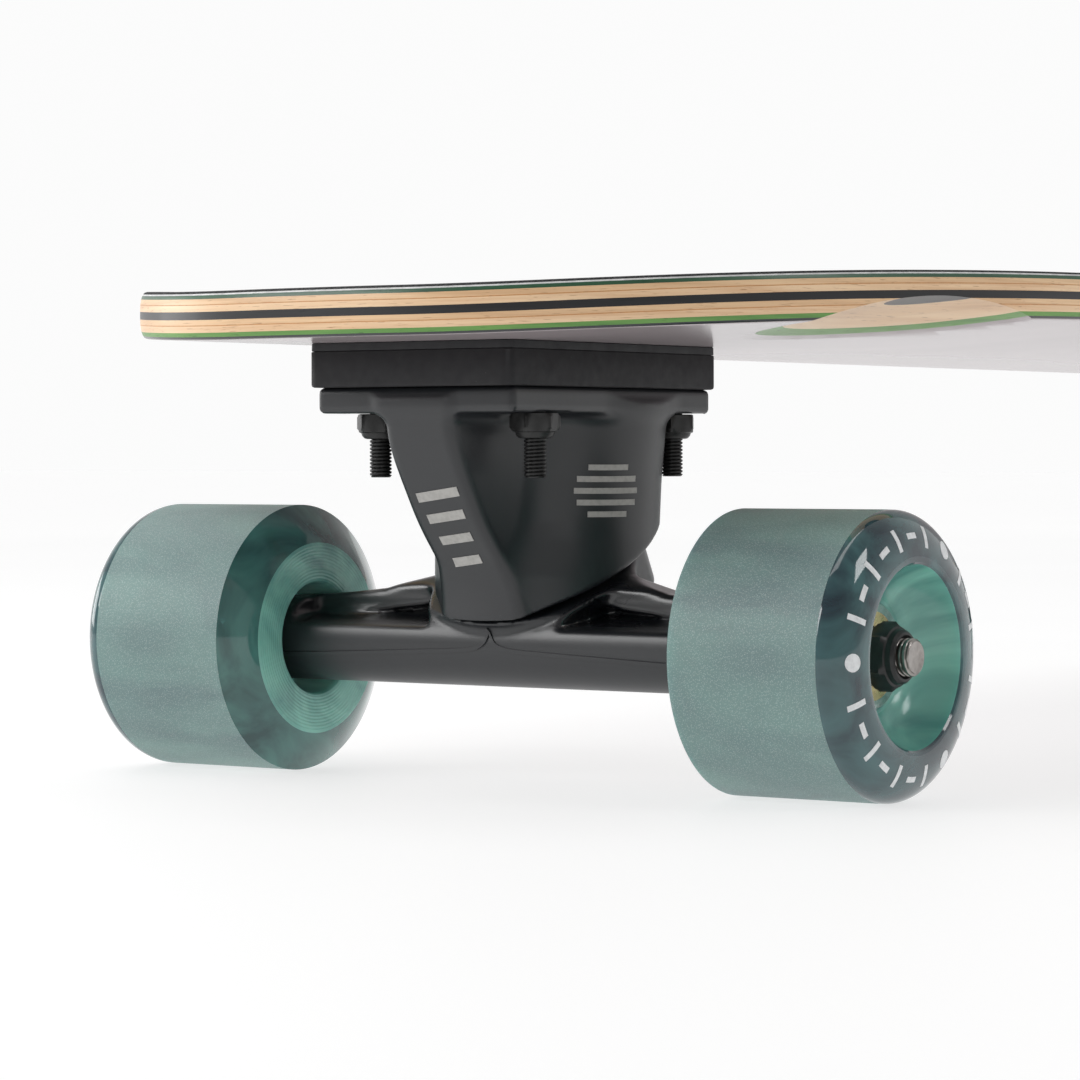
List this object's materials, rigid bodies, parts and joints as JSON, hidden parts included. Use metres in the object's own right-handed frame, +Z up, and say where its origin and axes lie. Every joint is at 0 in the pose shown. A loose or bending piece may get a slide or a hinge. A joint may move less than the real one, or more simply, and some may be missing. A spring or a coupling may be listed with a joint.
{
  "type": "skateboard",
  "caption": "Short cruiser skateboard with a concave laminated deck, carved wheel wells, shrouded steering trucks and wide soft wheels that spin on ball bearings.",
  "frame": {"origin": "on the ground under the middle of the deck, half way between the two axles", "axes": "+X along the board towards the front truck, +Y across the board towards the left wheels, +Z up"},
  "size_m": [0.69, 0.224, 0.1132],
  "materials": {
    "grip": "coarse grit, matt",
    "green_veneer": "dyed maple, satin",
    "maple": "bare maple edge, satin lacquer",
    "black_ply": "dyed maple, satin",
    "bright_green_ply": "dyed maple, satin",
    "base_print": "high gloss lacquer",
    "riser_rubber": "matt",
    "truck_paint": "cast, painted satin black",
    "black_steel": "black oxide",
    "axle_steel": "plain, threaded ends",
    "bearing_steel": "polished",
    "shield_brass": "satin",
    "bushing_urethane": "matt",
    "bronze": "plain",
    "wheel_urethane": "smoky translucent, matt tread and glossy sides"
  },
  "bodies": {
    "deck": {"grip_tape": "grip", "top_veneer": "green_veneer", "upper_core_top_ply": "maple", "upper_core_low_ply": "maple", "middle_ply": "black_ply", "lower_core_top_ply": "maple", "lower_core_low_ply": "maple", "accent_ply": "bright_green_ply", "base_sheet": "base_print", "front_riser": "riser_rubber", "front_housing": "truck_paint", "front_kingpin": "black_steel", "front_kingpin_nut": "black_steel", "front_steering_bushing": "bushing_urethane", "front_thrust_washer": "bronze", "front_deck_bolts": "black_steel", "front_deck_nuts": "black_steel", "rear_riser": "riser_rubber", "rear_housing": "truck_paint", "rear_kingpin": "black_steel", "rear_kingpin_nut": "black_steel", "rear_steering_bushing": "bushing_urethane", "rear_thrust_washer": "bronze", "rear_deck_bolts": "black_steel", "rear_deck_nuts": "black_steel"},
    "front_hanger": {"front_hanger": "truck_paint", "front_axle": "axle_steel", "front_axle_nuts": "black_steel", "front_speed_washers": "bearing_steel", "front_bearing_spacers": "bearing_steel", "front_bearing_inner_rings": "bearing_steel"},
    "rear_hanger": {"rear_hanger": "truck_paint", "rear_axle": "axle_steel", "rear_axle_nuts": "black_steel", "rear_speed_washers": "bearing_steel", "rear_bearing_spacers": "bearing_steel", "rear_bearing_inner_rings": "bearing_steel"},
    "front_left_wheel": {"front_left_wheel": "wheel_urethane", "front_left_outer_rings": "bearing_steel", "front_left_shields": "shield_brass", "front_left_balls": "bearing_steel"},
    "front_right_wheel": {"front_right_wheel": "wheel_urethane", "front_right_outer_rings": "bearing_steel", "front_right_shields": "shield_brass", "front_right_balls": "bearing_steel"},
    "rear_left_wheel": {"rear_left_wheel": "wheel_urethane", "rear_left_outer_rings": "bearing_steel", "rear_left_shields": "shield_brass", "rear_left_balls": "bearing_steel"},
    "rear_right_wheel": {"rear_right_wheel": "wheel_urethane", "rear_right_outer_rings": "bearing_steel", "rear_right_shields": "shield_brass", "rear_right_balls": "bearing_steel"}
  },
  "joints": [
    {"name": "front_steer", "type": "hinge", "parent": "deck", "child": "front_hanger", "pos_m": [0.2588, 0, 0.05005], "axis": [0.4695, 0, 0.8829], "range_deg": [-25, 25], "stiffness_Nm_per_rad": 20},
    {"name": "rear_steer", "type": "hinge", "parent": "deck", "child": "rear_hanger", "pos_m": [-0.2588, 0, 0.05005], "axis": [-0.4695, 0, 0.8829], "range_deg": [-25, 25], "stiffness_Nm_per_rad": 20},
    {"name": "front_left_wheel_spin", "type": "hinge", "parent": "front_hanger", "child": "front_left_wheel", "pos_m": [0.272, 0.0777, 0.0305], "axis": [0, 1, 0], "continuous": true},
    {"name": "front_right_wheel_spin", "type": "hinge", "parent": "front_hanger", "child": "front_right_wheel", "pos_m": [0.272, -0.0777, 0.0305], "axis": [0, 1, 0], "continuous": true},
    {"name": "rear_left_wheel_spin", "type": "hinge", "parent": "rear_hanger", "child": "rear_left_wheel", "pos_m": [-0.272, 0.0777, 0.0305], "axis": [0, 1, 0], "continuous": true},
    {"name": "rear_right_wheel_spin", "type": "hinge", "parent": "rear_hanger", "child": "rear_right_wheel", "pos_m": [-0.272, -0.0777, 0.0305], "axis": [0, 1, 0], "continuous": true}
  ]
}
